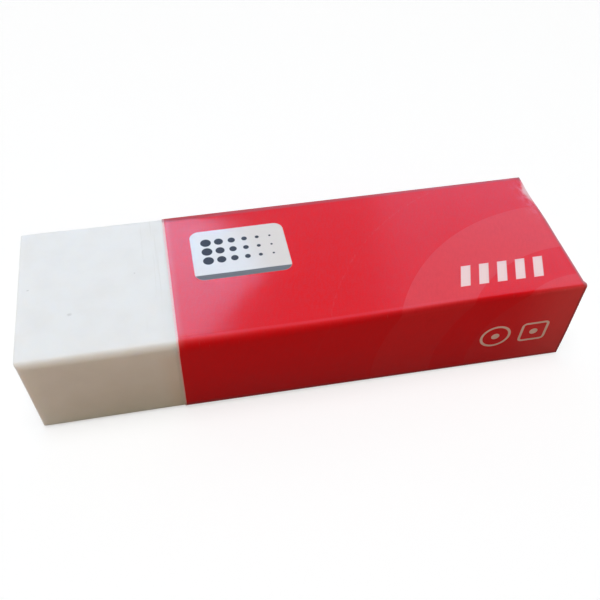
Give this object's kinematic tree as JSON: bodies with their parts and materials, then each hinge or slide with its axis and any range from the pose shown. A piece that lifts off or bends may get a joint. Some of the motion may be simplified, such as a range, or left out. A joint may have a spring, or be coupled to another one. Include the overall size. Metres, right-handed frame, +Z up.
{
  "type": "eraser",
  "caption": "White vinyl block eraser that slides in a folded, printed red card sleeve, with one bare end for rubbing out.",
  "frame": {"origin": "under the middle of the whole eraser, on the surface that it lies on", "axes": "+X along the block, from the bare rubbing end to the covered end; +Y from the front panel to the glued back panel; +Z up"},
  "size_m": [0.0622, 0.0198, 0.0125],
  "materials": {
    "vinyl": "matte white plasticised vinyl",
    "printed_card": "thin white card, printed red and varnished on the outside",
    "dried_glue": "thin film of dried paper glue"
  },
  "bodies": {
    "sleeve": {"card_sleeve": "printed_card", "seam_glue": "dried_glue"},
    "block": {"eraser_block": "vinyl"}
  },
  "joints": [
    {"name": "block_slide", "type": "slide", "parent": "sleeve", "child": "block", "axis": [-1, 0, 0], "range_m": [-0.0162, 0.0465]}
  ]
}
